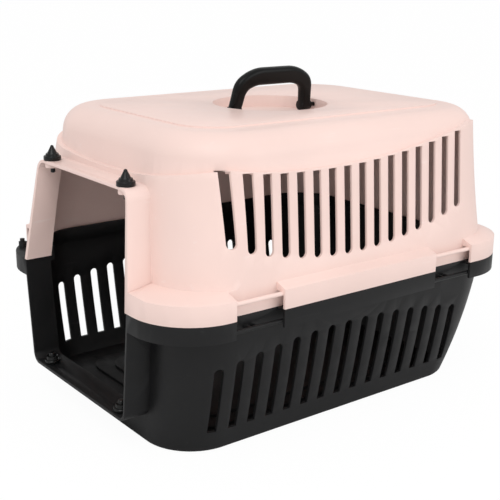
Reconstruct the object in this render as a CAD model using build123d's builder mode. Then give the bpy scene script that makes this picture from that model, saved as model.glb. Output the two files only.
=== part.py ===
from build123d import *
import os

os.makedirs("parts", exist_ok=True)

# Pet carrier, millimetres. The doorway faces -Y, +Z is up and the origin is under the middle of the belt.

# Overall sizes
belt_half_width = 193.0
belt_half_length = 246.5
belt_corner = 68.0
parting_height = 152.5
roof_height = 324.0
wall = 3.0

# Bottom tray
base_half_width = 154.5
base_front = 218.0
base_rear = 203.5
base_corner = 58.0
base_edge_fillet = 4.5
tray_mid_height = 80.0
tray_mid_half_width = 170.5
tray_mid_front = 219.0
tray_mid_rear = 223.0
rim_half_width = 181.0
rim_front = 219.0
rim_rear = 235.0
rim_corner = 64.0
belt_height = 19.0
floor_thickness = 3.5
floor_step = 3.0
floor_step_insets = (34.0, 51.0)
floor_step_corner = 30.0
tongue_height = 10.5
tongue_root = 6.5
tongue_thickness = 2.4
tongue_gap = 0.8
tongue_draft = 2.4

# Top shell
skirt_height = 20.5
skirt_slope_height = 5.5
skirt_slope_overlap = 3.0
skirt_channel_height = 17.0
shell_waist_height = 245.0
shell_waist_half_width = 174.5
shell_waist_front = 210.0
shell_waist_rear = 233.0
shoulder_half_width = 172.0
shoulder_front = 204.0
shoulder_rear = 234.0
shoulder_corner = 90.0
shoulder_height = 284.0
shoulder_middle = -40.0
shoulder_curve_radius = 880.0
shoulder_front_height = 276.0
shoulder_rear_height = 295.0
shoulder_end_radius = 822.0
shoulder_end_reach = 110.0
shoulder_top = 318.0
dome_half_width = 174.0
dome_front = 206.0
dome_rear = 230.0
dome_corner = 90.0
dome_start_height = 236.0
dome_draft = 12.0
dome_rear_draft = -4.0
dome_edge_radius = 28.0
panel_half_width = 118.0
panel_front = 160.0
panel_rear = 200.0
panel_corner = 46.0
panel_rise = 1.2

# Doorway collar
collar_rim_half_width = 115.5
collar_top_half_width = 96.5
collar_bottom_half_width = 103.0
collar_top_height = 271.0
collar_bottom_height = 31.0
sill_height = 34.5
collar_bottom_corner = 12.0
collar_top_corner = 14.0
collar_depth = 56.0
collar_lean = 14.0

# Vent slots
tray_slot_count = 15
tray_slot_pitch = 24.0
tray_slot_first = -176.6
tray_slot_width = 10.0
tray_slot_bottom = 23.5
tray_slot_top = 114.0
tray_slot_drop = 17.0
shell_slot_count = 16
shell_slot_pitch = 20.95
shell_slot_first = -162.5
shell_slot_width = 10.6
shell_slot_bottom = 190.0
shell_slot_rise = 27.0
shell_slot_margin = 1.5

# Clip notches in the belt
notch_centres = (-142.5, 133.5)
notch_width = 59.0
clip_rod_radius = 2.3
shell_rod_rise = 15.5
tray_rod_drop = 13.0
clip_rod_reach = 188.0
clip_rib_thickness = 2.0
clip_rib_spacing = 8.0
clip_rib_shift = 6.0
clip_rod_overlap = 6.0

# Open corner of the skirt, with a peg on the belt under it
open_corner_back = 212.0
peg_x = -163.5
peg_y = -227.0
peg_radius = 4.4
peg_height = 6.5
peg_tip_radius = 2.8
peg_tip_height = 3.5

# Handle and its recess
handle_centre = 17.4
recess_radius = 67.0
recess_depth = 12.5
pivot_height = 319.0
pivot_radius = 2.5
pivot_clearance = 0.05
pivot_engagement = 7.0
pivot_end_gap = 0.5
pivot_boss_size = 9.0
handle_half_width = 59.5
handle_rise = 49.5
handle_leg = 15.0
handle_shoulder = 34.0
handle_grip = 20.0
handle_thickness = 11.6
handle_edge_radius = 5.0
handle_taper = 4.5
handle_shoulder_drop = 15.0
finger_corner_drop = 5.0
finger_flat = 26.0
handle_lean = 12.0

# Door pins
pin_spacing = 158.4
pin_setback = 22.7
socket_setback = 11.0
socket_radius = 8.8
socket_height = 4.0
socket_collar_radius = 6.5
socket_collar_height = 4.0
socket_nub_radius = 3.6
socket_nub_height = 4.0
socket_tail = 3.0
pin_flange_radius = 9.6
pin_flange_height = 5.0
pin_step_radius = 7.6
pin_step_height = 2.5
pin_cone_radius = 5.6
pin_cone_height = 9.0
pin_tip_radius = 2.0
pin_shaft_radius = 3.0
pin_shaft_clearance = 0.08
pin_nub_length = 6.0
pin_nub_radius = 2.6
pin_groove_radius = 2.2
pin_groove_length = 0.6
pin_boss_radius = 8.0
pin_boss_height = 5.0
pin_nub_chamfer = 0.8


def rounded_outline(height, half_width, front, rear, corner):
    """A rounded rectangle at a height, from y = -front to y = rear."""
    with BuildSketch(Plane.XY.offset(height)) as outline:
        with Locations((0, (rear - front) / 2)):
            RectangleRounded(2 * half_width, front + rear, corner)
    return outline.sketch


def lofted_body(levels, inset, ruled=False):
    """A body that passes through rounded rectangles, each drawn in by the inset."""
    outlines = [
        rounded_outline(height, half_width - inset, front - inset, rear - inset, corner - inset)
        for height, half_width, front, rear, corner in levels
    ]
    with BuildPart() as body:
        loft(outlines, ruled=ruled)
    return body.part


def band(bottom, top, half_width, half_length, corner):
    """A straight rounded block between two heights."""
    with BuildPart() as block:
        add(rounded_outline(bottom, half_width, half_length, half_length, corner))
        extrude(amount=top - bottom)
    return block.part


def rim_ring(bottom, top, outer_inset, inner_inset):
    """A ring inside the outline of the parting line, between two insets from it."""
    with BuildPart() as block:
        for inset, mode in ((outer_inset, Mode.ADD), (inner_inset, Mode.SUBTRACT)):
            with BuildSketch(Plane.XY.offset(bottom)):
                with Locations((0, (rim_rear - rim_front) / 2)):
                    RectangleRounded(
                        2 * (rim_half_width - inset), rim_front + rim_rear - 2 * inset, rim_corner - inset
                    )
            extrude(amount=top - bottom, mode=mode)
    return block.part


def side_prism(sketch_points, near_y, far_y, corner, rounded_end):
    """A prism along Y with its outline given as x, z points, rounded at its top or bottom pair."""
    with BuildPart() as prism:
        with BuildSketch(Plane.XZ.offset(-far_y)):
            with BuildLine():
                Polyline(*sketch_points, close=True)
            make_face()
        extrude(amount=far_y - near_y)
        fillet(prism.edges().filter_by(Axis.Y).group_by(Axis.Z)[rounded_end], radius=corner)
    return prism.part


# Heights at which each shell's outline is given
tray_levels = (
    (0.0, base_half_width, base_front, base_rear, base_corner),
    (tray_mid_height, tray_mid_half_width, tray_mid_front, tray_mid_rear, base_corner - 1),
    (parting_height, rim_half_width, rim_front, rim_rear, rim_corner),
)
shell_levels = (
    (parting_height, rim_half_width, rim_front, rim_rear, rim_corner),
    (shell_waist_height, shell_waist_half_width, shell_waist_front, shell_waist_rear, shoulder_corner - 8),
    (shoulder_top, shoulder_half_width - 3, shoulder_front - 4, shoulder_rear, shoulder_corner),
)
dome_levels = (
    (dome_start_height, dome_half_width, dome_front, dome_rear, dome_corner),
    (
        roof_height,
        dome_half_width - dome_draft,
        dome_front - dome_draft,
        dome_rear - dome_rear_draft,
        dome_corner - dome_draft,
    ),
)


def above_arc(plane, middle, lowest, radius, width):
    """A block along the plane's normal, with a sagging arc for its underside."""
    with BuildPart() as block:
        with BuildSketch(plane):
            with Locations((middle, lowest + radius)):
                Circle(radius)
            with Locations((middle, lowest + radius + belt_half_width / 2)):
                Rectangle(2 * radius, radius)
        extrude(amount=width)
    return block.part


def under_shoulder(drop):
    """What lies under the shoulder line, which sags in the middle of the sides and of the ends."""
    side_plane = Plane.YZ.offset(-belt_half_width)
    front_plane = Plane.XZ.offset(shoulder_end_reach)
    rear_plane = Plane.XZ.offset(-belt_half_length)
    end_depth = belt_half_length - shoulder_end_reach
    with BuildPart() as block:
        add(band(parting_height, roof_height, belt_half_width, belt_half_length, belt_corner))
        add(
            above_arc(
                side_plane,
                shoulder_middle,
                shoulder_height - drop,
                shoulder_curve_radius,
                2 * belt_half_width,
            ),
            mode=Mode.SUBTRACT,
        )
        for plane, lowest in ((front_plane, shoulder_front_height), (rear_plane, shoulder_rear_height)):
            add(above_arc(plane, 0, lowest - drop, shoulder_end_radius, end_depth), mode=Mode.SUBTRACT)
    return block.part


def shell_walls(inset, drop):
    """The shell's side walls, up to the shoulder line."""
    return lofted_body(shell_levels, inset) & under_shoulder(drop)


def dome(inset):
    """The roof above the shoulder, with its rounded edge."""
    lowered = [
        (height - inset * (height == roof_height), half_width, front, rear, corner)
        for height, half_width, front, rear, corner in dome_levels
    ]
    with BuildPart() as roof:
        add(lofted_body(lowered, inset))
        fillet(roof.edges().group_by(Axis.Z)[-1], radius=dome_edge_radius - inset)
    return roof.part


# Doorway collar, above and below the parting line
collar_front = -belt_half_length
collar_back = collar_front + collar_depth
tunnel_front = collar_front - 10
tunnel_overrun = 20.0


def upper_collar(inset, front, back, below):
    points = (
        (-collar_rim_half_width + inset, parting_height - below),
        (collar_rim_half_width - inset, parting_height - below),
        (collar_top_half_width - inset, collar_top_height - inset),
        (-collar_top_half_width + inset, collar_top_height - inset),
    )
    return side_prism(points, front, back, collar_top_corner - inset, -1)


def lower_collar(inset, bottom, front, back, above):
    spread = (collar_rim_half_width - collar_bottom_half_width) / (parting_height - collar_bottom_height)
    top_half_width = collar_rim_half_width + spread * above - inset
    bottom_half_width = collar_bottom_half_width + spread * (bottom - collar_bottom_height) - inset
    points = (
        (-bottom_half_width, bottom),
        (bottom_half_width, bottom),
        (top_half_width, parting_height + above),
        (-top_half_width, parting_height + above),
    )
    return side_prism(points, front, back, collar_bottom_corner - inset, 0)


def leaning_front():
    """What lies ahead of the upper collar's leaning front edge."""
    lean_top = collar_top_height + 10
    lean_rate = collar_lean / (collar_top_height - parting_height)
    with BuildPart() as wedge:
        with BuildSketch(Plane.YZ.offset(-belt_half_width)):
            with BuildLine():
                Polyline(
                    (collar_front, parting_height),
                    (collar_front + lean_rate * (lean_top - parting_height), lean_top),
                    (collar_front - collar_depth, lean_top),
                    (collar_front - collar_depth, parting_height),
                    close=True,
                )
            make_face()
        extrude(amount=2 * belt_half_width)
    return wedge.part


def collar_keep_out(half_width, bottom, top):
    """A block across the doorway, ahead of the front wall."""
    with BuildPart() as block:
        with Locations((0, collar_front, bottom)):
            Box(
                2 * half_width,
                2 * collar_depth,
                top - bottom,
                align=(Align.CENTER, Align.CENTER, Align.MIN),
            )
    return block.part


# Vent slots
def tray_slots():
    """Slots with round tops on an arch and a straight bottom line."""
    last = tray_slot_first + (tray_slot_count - 1) * tray_slot_pitch
    middle = (tray_slot_first + last) / 2
    half_row = (last - tray_slot_first) / 2
    with BuildPart() as slots:
        with BuildSketch(Plane.YZ.offset(-belt_half_width)):
            for index in range(tray_slot_count):
                y = tray_slot_first + index * tray_slot_pitch
                top = tray_slot_top - tray_slot_drop * ((y - middle) / half_row) ** 2
                straight_top = top - tray_slot_width / 2
                with Locations((y, tray_slot_bottom)):
                    Rectangle(
                        tray_slot_width,
                        straight_top - tray_slot_bottom,
                        align=(Align.CENTER, Align.MIN),
                    )
                with Locations((y, straight_top)):
                    Circle(tray_slot_width / 2)
        extrude(amount=2 * belt_half_width)
    return slots.part


def shell_slots():
    """Slots in the right wall, with square tops along the shoulder and round bottoms on a smile."""
    half_row = (shell_slot_count - 1) * shell_slot_pitch / 2
    middle = shell_slot_first + half_row
    with BuildPart() as slots:
        with BuildSketch(Plane.YZ):
            for index in range(shell_slot_count):
                y = shell_slot_first + index * shell_slot_pitch
                bottom = shell_slot_bottom + shell_slot_rise * ((y - middle) / half_row) ** 2
                straight_bottom = bottom + shell_slot_width / 2
                sag = (y - shoulder_middle) ** 2 / (2 * shoulder_curve_radius)
                top = shoulder_height + sag - shell_slot_margin
                with Locations((y, straight_bottom)):
                    Rectangle(
                        shell_slot_width,
                        top - straight_bottom,
                        align=(Align.CENTER, Align.MIN),
                    )
                with Locations((y, straight_bottom)):
                    Circle(shell_slot_width / 2)
        extrude(amount=belt_half_width)
    return slots.part


def notch_blocks(inner_face, bottom, top):
    """The four gaps in the belt where the clips sit."""
    with BuildPart() as blocks:
        for side in (-1, 1):
            for centre in notch_centres:
                with Locations((side * (inner_face + belt_half_width) / 2, centre, bottom)):
                    Box(
                        belt_half_width - inner_face + 2 * wall,
                        notch_width,
                        top - bottom,
                        align=(Align.CENTER, Align.CENTER, Align.MIN),
                    )
    return blocks.part


def clip_rods(height):
    """The four bars that the clips hook on, one across each notch."""
    with BuildPart() as rods:
        for side in (-1, 1):
            for centre in notch_centres:
                with Locations(Location((side * clip_rod_reach, centre, height), (90, 0, 0))):
                    Cylinder(clip_rod_radius, notch_width + 2 * wall)
    return rods.part


# Door pins: their places along the rim and the sill
pin_y = collar_front + pin_setback
socket_y = collar_front + socket_setback
pin_places = {"left": -pin_spacing / 2, "right": pin_spacing / 2}

with BuildPart() as rounded_tray:
    add(lofted_body(tray_levels, 0))
    fillet(rounded_tray.edges().group_by(Axis.Z)[0], radius=base_edge_fillet)
tray_body = rounded_tray.part
tray_cavity_levels = [
    (height + floor_thickness * (height == 0), *outline) for height, *outline in tray_levels
]
tray_cavity = lofted_body(tray_cavity_levels, wall)
belt_bottom = parting_height - belt_height
belt_block = band(belt_bottom, parting_height, belt_half_width, belt_half_length, belt_corner)
belt_reach = belt_half_width - rim_half_width
belt_hollow = band(
    belt_bottom,
    parting_height - wall,
    belt_half_width - wall,
    belt_half_length - wall,
    belt_corner - wall,
)
tongue_outer = wall + tongue_draft + tongue_gap
tongue_inner = tongue_outer + tongue_thickness
tongue_base = rim_ring(parting_height - tongue_root, parting_height, wall - tongue_gap, tongue_inner)
tongue = rim_ring(parting_height, parting_height + tongue_height, tongue_outer, tongue_inner)
tray_notches = notch_blocks(rim_half_width, belt_bottom, parting_height)
tray_rod_height = parting_height - tray_rod_drop
tray_rods = clip_rods(tray_rod_height)
lower_collar_outer = lower_collar(0, collar_bottom_height, collar_front, collar_back, 0)
lower_tunnel = lower_collar(wall, sill_height, tunnel_front, collar_back, tunnel_overrun)
tray_slot_cutter = tray_slots()
pin_bore_radius = pin_shaft_radius + pin_shaft_clearance
clip_rib_length = clip_rod_reach - rim_half_width + clip_rod_overlap
clip_rib_middle = (clip_rod_reach + rim_half_width - clip_rod_overlap) / 2

with BuildPart() as bottom_tray:
    add(belt_block)
    add(belt_hollow, mode=Mode.SUBTRACT)
    add(tray_notches, mode=Mode.SUBTRACT)
    add(tray_body)
    add(tray_rods)
    with Locations((peg_x, peg_y, parting_height - wall)):
        Cylinder(peg_radius, wall + peg_height, align=(Align.CENTER, Align.CENTER, Align.MIN))
        Cylinder(
            peg_tip_radius,
            wall + peg_height + peg_tip_height,
            align=(Align.CENTER, Align.CENTER, Align.MIN),
        )
    for side in (-1, 1):
        for centre in notch_centres:
            rib_y = centre - clip_rib_shift
            for offset in (-clip_rib_spacing / 2, clip_rib_spacing / 2):
                with Locations((side * clip_rib_middle, rib_y + offset, tray_rod_height)):
                    Box(clip_rib_length, clip_rib_thickness, 2 * clip_rod_radius)
    add(lower_collar_outer)
    add(tray_cavity, mode=Mode.SUBTRACT)
    add(tongue_base)
    add(tongue)
    add(lower_tunnel, mode=Mode.SUBTRACT)
    add(tray_slot_cutter, mode=Mode.SUBTRACT)
    for x in pin_places.values():
        with Locations((x, socket_y, sill_height)):
            Cylinder(pin_bore_radius, 4 * wall, mode=Mode.SUBTRACT)
    for level, inset in enumerate(floor_step_insets, start=1):
        with BuildSketch(Plane.XY.offset(floor_thickness)):
            RectangleRounded(2 * (base_half_width - inset), 2 * (base_rear - inset), floor_step_corner)
        extrude(amount=level * floor_step)
    for level, inset in enumerate(floor_step_insets, start=1):
        with BuildSketch(Plane.XY):
            RectangleRounded(
                2 * (base_half_width - inset - wall),
                2 * (base_rear - inset - wall),
                floor_step_corner - wall,
            )
        extrude(amount=level * floor_step, mode=Mode.SUBTRACT)
bottom_tray.part.label = "bottom_tray"
export_step(bottom_tray.part, "parts/bottom_tray.step")

# Top shell
wall_body = shell_walls(0, 0)
wall_cavity = shell_walls(wall, wall)
roof_body = dome(0)
roof_cavity = dome(wall)
skirt_top = parting_height + skirt_height
skirt_block = band(parting_height, skirt_top, belt_half_width, belt_half_length, belt_corner)
skirt_slope = loft(
    [
        rounded_outline(skirt_top, belt_half_width, belt_half_length, belt_half_length, belt_corner),
        rounded_outline(
            skirt_top + skirt_slope_height,
            rim_half_width - skirt_slope_overlap,
            rim_front - skirt_slope_overlap,
            rim_rear - skirt_slope_overlap,
            rim_corner - skirt_slope_overlap,
        ),
    ],
    ruled=True,
)
skirt_channel = band(
    parting_height,
    parting_height + skirt_channel_height,
    belt_half_width - wall,
    belt_half_length - wall,
    belt_corner - wall,
)
shell_notches = notch_blocks(rim_half_width, parting_height, skirt_top + skirt_slope_height)
shell_rods = clip_rods(parting_height + shell_rod_rise)
upper_collar_outer = upper_collar(0, collar_front, collar_back, 0)
upper_tunnel = upper_collar(wall, tunnel_front, collar_back, tunnel_overrun)
lean_cutter = leaning_front()
skirt_gap = collar_keep_out(
    collar_rim_half_width - wall, parting_height, skirt_top + skirt_slope_height
)
shell_slot_cutter = shell_slots()
recess_floor = roof_height - recess_depth
pivot_bore_radius = pivot_radius + pivot_clearance

with BuildPart() as top_shell:
    add(skirt_block)
    add(skirt_slope)
    add(skirt_channel, mode=Mode.SUBTRACT)
    add(shell_notches, mode=Mode.SUBTRACT)
    with Locations((-belt_half_width, -belt_half_length, parting_height)):
        Box(
            2 * (belt_half_width - collar_rim_half_width + wall),
            2 * (belt_half_length - open_corner_back),
            roof_height - parting_height,
            align=(Align.CENTER, Align.CENTER, Align.MIN),
            mode=Mode.SUBTRACT,
        )
    add(wall_body)
    add(roof_body)
    add(shell_rods)
    add(skirt_gap, mode=Mode.SUBTRACT)
    add(upper_collar_outer)
    add(lean_cutter, mode=Mode.SUBTRACT)
    with BuildSketch(Plane.XY.offset(roof_height)):
        with Locations((0, (panel_rear - panel_front) / 2)):
            RectangleRounded(2 * panel_half_width, panel_front + panel_rear, panel_corner)
    extrude(amount=panel_rise)
    add(wall_cavity, mode=Mode.SUBTRACT)
    add(roof_cavity, mode=Mode.SUBTRACT)
    add(upper_tunnel, mode=Mode.SUBTRACT)
    with Locations((0, handle_centre, recess_floor - wall)):
        Cylinder(
            recess_radius + wall,
            recess_depth,
            align=(Align.CENTER, Align.CENTER, Align.MIN),
        )
    for side in (-1, 1):
        with Locations((0, handle_centre + side * (recess_radius + pivot_engagement / 2), pivot_height)):
            Box(pivot_boss_size, pivot_engagement, pivot_boss_size)
    with Locations((0, handle_centre, recess_floor)):
        Cylinder(
            recess_radius,
            2 * recess_depth,
            align=(Align.CENTER, Align.CENTER, Align.MIN),
            mode=Mode.SUBTRACT,
        )
    with Locations(Location((0, handle_centre, pivot_height), (90, 0, 0))):
        Cylinder(pivot_bore_radius, 2 * (recess_radius + pivot_engagement), mode=Mode.SUBTRACT)
    add(shell_slot_cutter, mode=Mode.SUBTRACT)
    for x in pin_places.values():
        with Locations((x, pin_y, collar_top_height - wall)):
            Cylinder(pin_boss_radius, pin_boss_height, align=(Align.CENTER, Align.CENTER, Align.MAX))
        with Locations((x, pin_y, collar_top_height)):
            Cylinder(pin_bore_radius, 4 * wall + pin_boss_height, mode=Mode.SUBTRACT)
top_shell.part.label = "top_shell"
export_step(top_shell.part, "parts/top_shell.step")


# Carry handle, drawn upright on the recess and then leaned
handle_plane = Plane(
    origin=(-handle_thickness / 2, handle_centre, pivot_height), x_dir=(0, 1, 0), z_dir=(1, 0, 0)
)
handle_outer = (
    (-handle_half_width, 0),
    (-handle_half_width + handle_taper, handle_rise - handle_shoulder_drop),
    (-handle_shoulder, handle_rise),
    (handle_shoulder, handle_rise),
    (handle_half_width - handle_taper, handle_rise - handle_shoulder_drop),
    (handle_half_width, 0),
)
inner_half_width = handle_half_width - handle_leg
grip_under = handle_rise - handle_grip
handle_inner = (
    (inner_half_width, 0),
    (inner_half_width - handle_taper, grip_under - finger_corner_drop),
    (finger_flat, grip_under),
    (-finger_flat, grip_under),
    (-inner_half_width + handle_taper, grip_under - finger_corner_drop),
    (-inner_half_width, 0),
)
foot_middle = handle_half_width - handle_leg / 2
stub_reach = recess_radius + pivot_engagement - pivot_end_gap
stub_root = handle_half_width - handle_leg / 2
with BuildPart() as upright_handle:
    with BuildSketch(handle_plane):
        with BuildLine():
            outer = FilletPolyline(*handle_outer, radius=(22, 50, 50, 22))
            inner = FilletPolyline(*handle_inner, radius=(12, 34, 34, 12))
            Line(outer @ 1, inner @ 0)
            Line(inner @ 1, outer @ 0)
        make_face()
    extrude(amount=handle_thickness)
    across = upright_handle.edges().filter_by(Axis.X)
    feet = upright_handle.faces().filter_by(Axis.Z).group_by(Axis.Z)[0].edges()
    fillet(upright_handle.edges() - across - feet, radius=handle_edge_radius)
    for side in (-1, 1):
        with Locations(Location((0, handle_centre + side * foot_middle, pivot_height), (90, 0, 0))):
            Cylinder(handle_thickness / 2, handle_leg)
        stub_middle = handle_centre + side * (stub_reach + stub_root) / 2
        with Locations(Location((0, stub_middle, pivot_height), (90, 0, 0))):
            Cylinder(pivot_radius, stub_reach - stub_root)
carry_handle = upright_handle.part.rotate(Axis((0, 0, pivot_height), (0, 1, 0)), handle_lean)
carry_handle.label = "carry_handle"
export_step(carry_handle, "parts/carry_handle.step")


def door_pin_outline(seat, nub_length, through):
    """Half of a door pin's section, from its knob's tip down to its nub, as radius and height."""
    flange_top = seat + pin_flange_height
    step_top = flange_top + pin_step_height
    knob_top = step_top + pin_cone_height
    shaft_end = seat - through
    groove_end = shaft_end - pin_groove_length
    nub_end = shaft_end - nub_length
    with BuildSketch(Plane.XZ) as outline:
        with BuildLine():
            Polyline(
                (0, nub_end),
                (pin_nub_radius - pin_nub_chamfer, nub_end),
                (pin_nub_radius, nub_end + pin_nub_chamfer),
                (pin_nub_radius, groove_end),
                (pin_groove_radius, groove_end),
                (pin_groove_radius, shaft_end),
                (pin_shaft_radius, shaft_end),
                (pin_shaft_radius, seat),
                (pin_flange_radius, seat),
                (pin_flange_radius, flange_top - pin_nub_chamfer),
                (pin_flange_radius - pin_nub_chamfer, flange_top),
                (pin_step_radius, flange_top),
                (pin_step_radius - pin_nub_chamfer, step_top),
                (pin_cone_radius, step_top),
                (pin_tip_radius, knob_top - pin_tip_radius),
            )
            RadiusArc((pin_tip_radius, knob_top - pin_tip_radius), (0, knob_top), -pin_tip_radius)
            Line((0, knob_top), (0, nub_end))
        make_face()
    return outline.sketch


def socket_outline():
    """Half of a sill stub's section, on which the door's lower corner turns."""
    flange_top = sill_height + socket_height
    collar_top = flange_top + socket_collar_height
    nub_top = collar_top + socket_nub_height
    tail_end = collar_bottom_height - socket_tail
    with BuildSketch(Plane.XZ) as outline:
        with BuildLine():
            Polyline(
                (0, tail_end),
                (pin_shaft_radius, tail_end),
                (pin_shaft_radius, sill_height),
                (socket_radius, sill_height),
                (socket_radius, flange_top - pin_nub_chamfer),
                (socket_radius - pin_nub_chamfer, flange_top),
                (socket_collar_radius, flange_top),
                (socket_collar_radius, collar_top),
                (socket_nub_radius, collar_top),
                (socket_nub_radius, nub_top - pin_nub_chamfer),
                (socket_nub_radius - pin_nub_chamfer, nub_top),
                (0, nub_top),
                close=True,
            )
        make_face()
    return outline.sketch


# Door pins through the rim, and the stubs in the sill below them
rim_thickness = wall + pin_boss_height
turned_pieces = {
    "door_pin": (door_pin_outline(collar_top_height, pin_nub_length, rim_thickness), pin_y),
    "door_stub": (socket_outline(), socket_y),
}
for name, (outline, y) in turned_pieces.items():
    for hand, x in pin_places.items():
        with BuildPart() as turned:
            with BuildSketch(Plane.XZ):
                add(outline)
            revolve(axis=Axis.Z)
        turned.part.position = (x, y, 0)
        turned.part.label = f"{name}_{hand}"
        export_step(turned.part, f"parts/{turned.part.label}.step")
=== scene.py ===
import math

import bpy
from mathutils import Matrix, Vector

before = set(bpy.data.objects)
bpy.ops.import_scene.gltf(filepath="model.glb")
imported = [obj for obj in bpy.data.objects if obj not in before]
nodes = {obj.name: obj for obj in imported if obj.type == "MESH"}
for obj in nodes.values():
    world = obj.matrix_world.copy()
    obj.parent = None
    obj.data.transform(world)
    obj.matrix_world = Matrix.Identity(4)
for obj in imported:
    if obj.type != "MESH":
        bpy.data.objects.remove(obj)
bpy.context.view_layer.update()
scene = bpy.context.scene

# Plastic: each noise is its scale, per metre, and its detail
cloud_noise = (9.0, 3.0)
mottle_noise = (55.0, 4.0)
pore_noise = (1500.0, 2.0)
scuff_noise = (140.0, 5.0)
scuff_stretch = (1.0, 0.12, 1.0)
noise_span = (0.3, 0.7)
scuff_onset = (0.66, 0.78)
scuff_cover = 0.35
scuff_roughness = 0.3
darkest_tone = 0.965
lightest_tone = 1.02
fine_sheen_reach = 0.035
broad_sheen_reach = 0.03
mottle_height = 0.8
bump_strength = 0.35

# Rounded edges
weld_distance = 0.00001
edge_segments = 2
edge_angle = 35
tray_edge = 0.0011
shell_edge = 0.0013
handle_edge = 0.0006
pin_edge = 0.0003

# Studio
white = (1, 1, 1, 1)
floor_grey = (0.8, 0.8, 0.8, 1)
floor_reach = 12.0
floor_height = -0.0005
floor_glow_share = 0.94
backdrop_strength = 1.02
sky_strength = 0.74
light_target = (0, 0, 0.2)

# Camera at the photograph's angle
camera_angles = (52.49, 16.23, 0.66)
camera_place = (0.8930, -0.6949, 0.4783)
lens_mm = 70.33
sensor_mm = 36.0


# Materials
def math_node(tree, operation, first, second):
    node = tree.nodes.new("ShaderNodeMath")
    node.operation = operation
    for socket, value in zip(node.inputs, (first, second)):
        if isinstance(value, (int, float)):
            socket.default_value = value
        else:
            tree.links.new(value, socket)
    return node.outputs[0]


def noise(tree, position, scale, detail, stretch=(1, 1, 1)):
    mapping = tree.nodes.new("ShaderNodeMapping")
    mapping.inputs["Scale"].default_value = stretch
    tree.links.new(position, mapping.inputs["Vector"])
    node = tree.nodes.new("ShaderNodeTexNoise")
    node.inputs["Scale"].default_value = scale
    node.inputs["Detail"].default_value = detail
    tree.links.new(mapping.outputs[0], node.inputs["Vector"])
    return node.outputs[0]


def map_range(tree, value, source, target):
    node = tree.nodes.new("ShaderNodeMapRange")
    for socket, number in zip(("From Min", "From Max", "To Min", "To Max"), (*source, *target)):
        node.inputs[socket].default_value = number
    tree.links.new(value, node.inputs["Value"])
    return node.outputs[0]


def mix_colours(tree, factor, first, second):
    """First and second are each a colour or a socket."""
    node = tree.nodes.new("ShaderNodeMix")
    node.data_type = "RGBA"
    for socket, value in (("A", first), ("B", second)):
        if isinstance(value, tuple):
            node.inputs[socket].default_value = (*value, 1)
        else:
            tree.links.new(value, node.inputs[socket])
    tree.links.new(factor, node.inputs["Factor"])
    return node.outputs["Result"]


def plastic(name, colour, worn_colour, roughness, specular, grain):
    """Moulded plastic: fine grain, a slow change of sheen and tone, and faint handling scuffs."""
    material = bpy.data.materials.new(name)
    material.use_nodes = True
    tree = material.node_tree
    shader = tree.nodes["Principled BSDF"]
    position = tree.nodes.new("ShaderNodeTexCoord").outputs["Object"]
    cloud = noise(tree, position, *cloud_noise)
    mottle = noise(tree, position, *mottle_noise)
    pores = noise(tree, position, *pore_noise)
    scuffs = noise(tree, position, *scuff_noise, scuff_stretch)
    scuffed = map_range(tree, scuffs, scuff_onset, (0.0, scuff_cover))
    dark = tuple(c * darkest_tone for c in colour)
    light = tuple(min(c * lightest_tone, 1.0) for c in colour)
    tone = mix_colours(tree, map_range(tree, cloud, noise_span, (0.0, 1.0)), dark, light)
    tree.links.new(mix_colours(tree, scuffed, tone, worn_colour), shader.inputs["Base Color"])
    sheen_span = (roughness - broad_sheen_reach, roughness + broad_sheen_reach)
    broad_sheen = map_range(tree, cloud, noise_span, sheen_span)
    fine_sheen = map_range(tree, mottle, noise_span, (-fine_sheen_reach, fine_sheen_reach))
    sheen = math_node(tree, "ADD", fine_sheen, broad_sheen)
    dulling = math_node(tree, "MULTIPLY", scuffed, scuff_roughness)
    tree.links.new(math_node(tree, "ADD", sheen, dulling), shader.inputs["Roughness"])
    shader.inputs["Specular IOR Level"].default_value = specular
    height = math_node(tree, "ADD", pores, math_node(tree, "MULTIPLY", mottle, mottle_height))
    bump = tree.nodes.new("ShaderNodeBump")
    bump.inputs["Strength"].default_value = bump_strength
    bump.inputs["Distance"].default_value = grain
    tree.links.new(height, bump.inputs["Height"])
    tree.links.new(bump.outputs[0], shader.inputs["Normal"])
    return material


shell_plastic = plastic(
    "shell_plastic",
    colour=(0.92, 0.70, 0.64),
    worn_colour=(0.95, 0.81, 0.77),
    roughness=0.40,
    specular=0.30,
    grain=0.00012,
)
tray_plastic = plastic(
    "tray_plastic",
    colour=(0.0085, 0.0085, 0.009),
    worn_colour=(0.035, 0.035, 0.037),
    roughness=0.44,
    specular=0.26,
    grain=0.00016,
)
handle_plastic = plastic(
    "handle_plastic",
    colour=(0.002, 0.0023, 0.0023),
    worn_colour=(0.012, 0.012, 0.012),
    roughness=0.30,
    specular=0.20,
    grain=0.00010,
)
pin_plastic = plastic(
    "pin_plastic",
    colour=(0.004, 0.0043, 0.0043),
    worn_colour=(0.02, 0.02, 0.02),
    roughness=0.28,
    specular=0.32,
    grain=0.00006,
)

finishes = {
    "bottom_tray": (tray_plastic, tray_edge),
    "top_shell": (shell_plastic, shell_edge),
    "carry_handle": (handle_plastic, handle_edge),
    "door_pin_left": (pin_plastic, pin_edge),
    "door_pin_right": (pin_plastic, pin_edge),
    "door_stub_left": (pin_plastic, pin_edge),
    "door_stub_right": (pin_plastic, pin_edge),
}
for name, (material, edge) in finishes.items():
    piece = nodes[name]
    if not piece.material_slots:
        piece.data.materials.append(material)
    for slot in piece.material_slots:
        slot.material = material
    piece.data.polygons.foreach_set("use_smooth", [True] * len(piece.data.polygons))
    weld = piece.modifiers.new("weld", "WELD")
    weld.merge_threshold = weld_distance
    bevel = piece.modifiers.new("rounded_edges", "BEVEL")
    bevel.width = edge
    bevel.segments = edge_segments
    bevel.limit_method = "ANGLE"
    bevel.angle_limit = math.radians(edge_angle)
    bevel.use_clamp_overlap = True
    bevel.harden_normals = True

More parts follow.
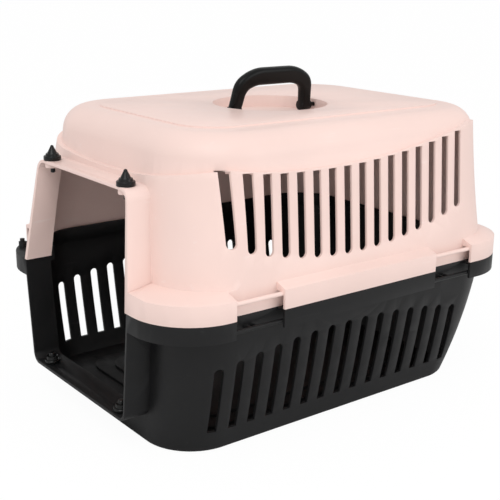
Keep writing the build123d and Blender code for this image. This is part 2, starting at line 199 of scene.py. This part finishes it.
# Floor, matte to light and white to the camera
floor_material = bpy.data.materials.new("studio_floor")
floor_material.use_nodes = True
floor_tree = floor_material.node_tree
floor_tree.nodes.clear()
output = floor_tree.nodes.new("ShaderNodeOutputMaterial")
mix = floor_tree.nodes.new("ShaderNodeMixShader")
matte = floor_tree.nodes.new("ShaderNodeBsdfDiffuse")
matte.inputs["Color"].default_value = floor_grey
glow = floor_tree.nodes.new("ShaderNodeEmission")
glow.inputs["Color"].default_value = white
glow.inputs["Strength"].default_value = backdrop_strength
floor_rays = floor_tree.nodes.new("ShaderNodeLightPath")
share = math_node(floor_tree, "MULTIPLY", floor_rays.outputs["Is Camera Ray"], floor_glow_share)
floor_tree.links.new(share, mix.inputs["Fac"])
floor_tree.links.new(matte.outputs[0], mix.inputs[1])
floor_tree.links.new(glow.outputs[0], mix.inputs[2])
floor_tree.links.new(mix.outputs[0], output.inputs["Surface"])
floor_mesh = bpy.data.meshes.new("studio_floor")
floor_signs = [(-1, -1), (1, -1), (1, 1), (-1, 1)]
floor_corners = [(x * floor_reach, y * floor_reach, floor_height) for x, y in floor_signs]
floor_mesh.from_pydata(floor_corners, [], [(0, 1, 2, 3)])
floor_mesh.materials.append(floor_material)
floor = bpy.data.objects.new("studio_floor", floor_mesh)
scene.collection.objects.link(floor)

# Surroundings, brighter to the camera than to the part
world = bpy.data.worlds.new("studio")
scene.world = world
world.use_nodes = True
sky = world.node_tree
background = sky.nodes["Background"]
background.inputs["Color"].default_value = white
sky_rays = sky.nodes.new("ShaderNodeLightPath")
camera_extra = backdrop_strength - sky_strength
extra = math_node(sky, "MULTIPLY", sky_rays.outputs["Is Camera Ray"], camera_extra)
sky.links.new(math_node(sky, "ADD", extra, sky_strength), background.inputs["Strength"])


def area_light(name, place, size, power):
    data = bpy.data.lights.new(name, "AREA")
    data.shape = "SQUARE"
    data.size = size
    data.energy = power
    light = bpy.data.objects.new(name, data)
    scene.collection.objects.link(light)
    light.location = place
    light.rotation_mode = "QUATERNION"
    aim = Vector(light_target) - Vector(place)
    light.rotation_quaternion = aim.to_track_quat("-Z", "Y")


area_light("key", place=(0.9, -1.2, 2.0), size=1.3, power=15.0)
area_light("fill", place=(1.9, 0.9, 1.0), size=1.4, power=9.0)

# Camera: yaw from straight ahead, pitch down and roll
yaw, pitch, roll = (math.radians(a) for a in camera_angles)
forward = Vector((-math.sin(yaw) * math.cos(pitch), math.cos(yaw) * math.cos(pitch), -math.sin(pitch)))
level = Vector((math.cos(yaw), math.sin(yaw), 0))
upward = level.cross(forward)
right = math.cos(roll) * level + math.sin(roll) * upward
top = -math.sin(roll) * level + math.cos(roll) * upward
camera_data = bpy.data.cameras.new("camera")
camera_data.sensor_width = sensor_mm
camera_data.lens = lens_mm
camera = bpy.data.objects.new("camera", camera_data)
scene.collection.objects.link(camera)
turn = Matrix((right, top, -forward)).transposed().to_4x4()
camera.matrix_world = Matrix.Translation(camera_place) @ turn
scene.camera = camera
scene.view_settings.view_transform = "Standard"
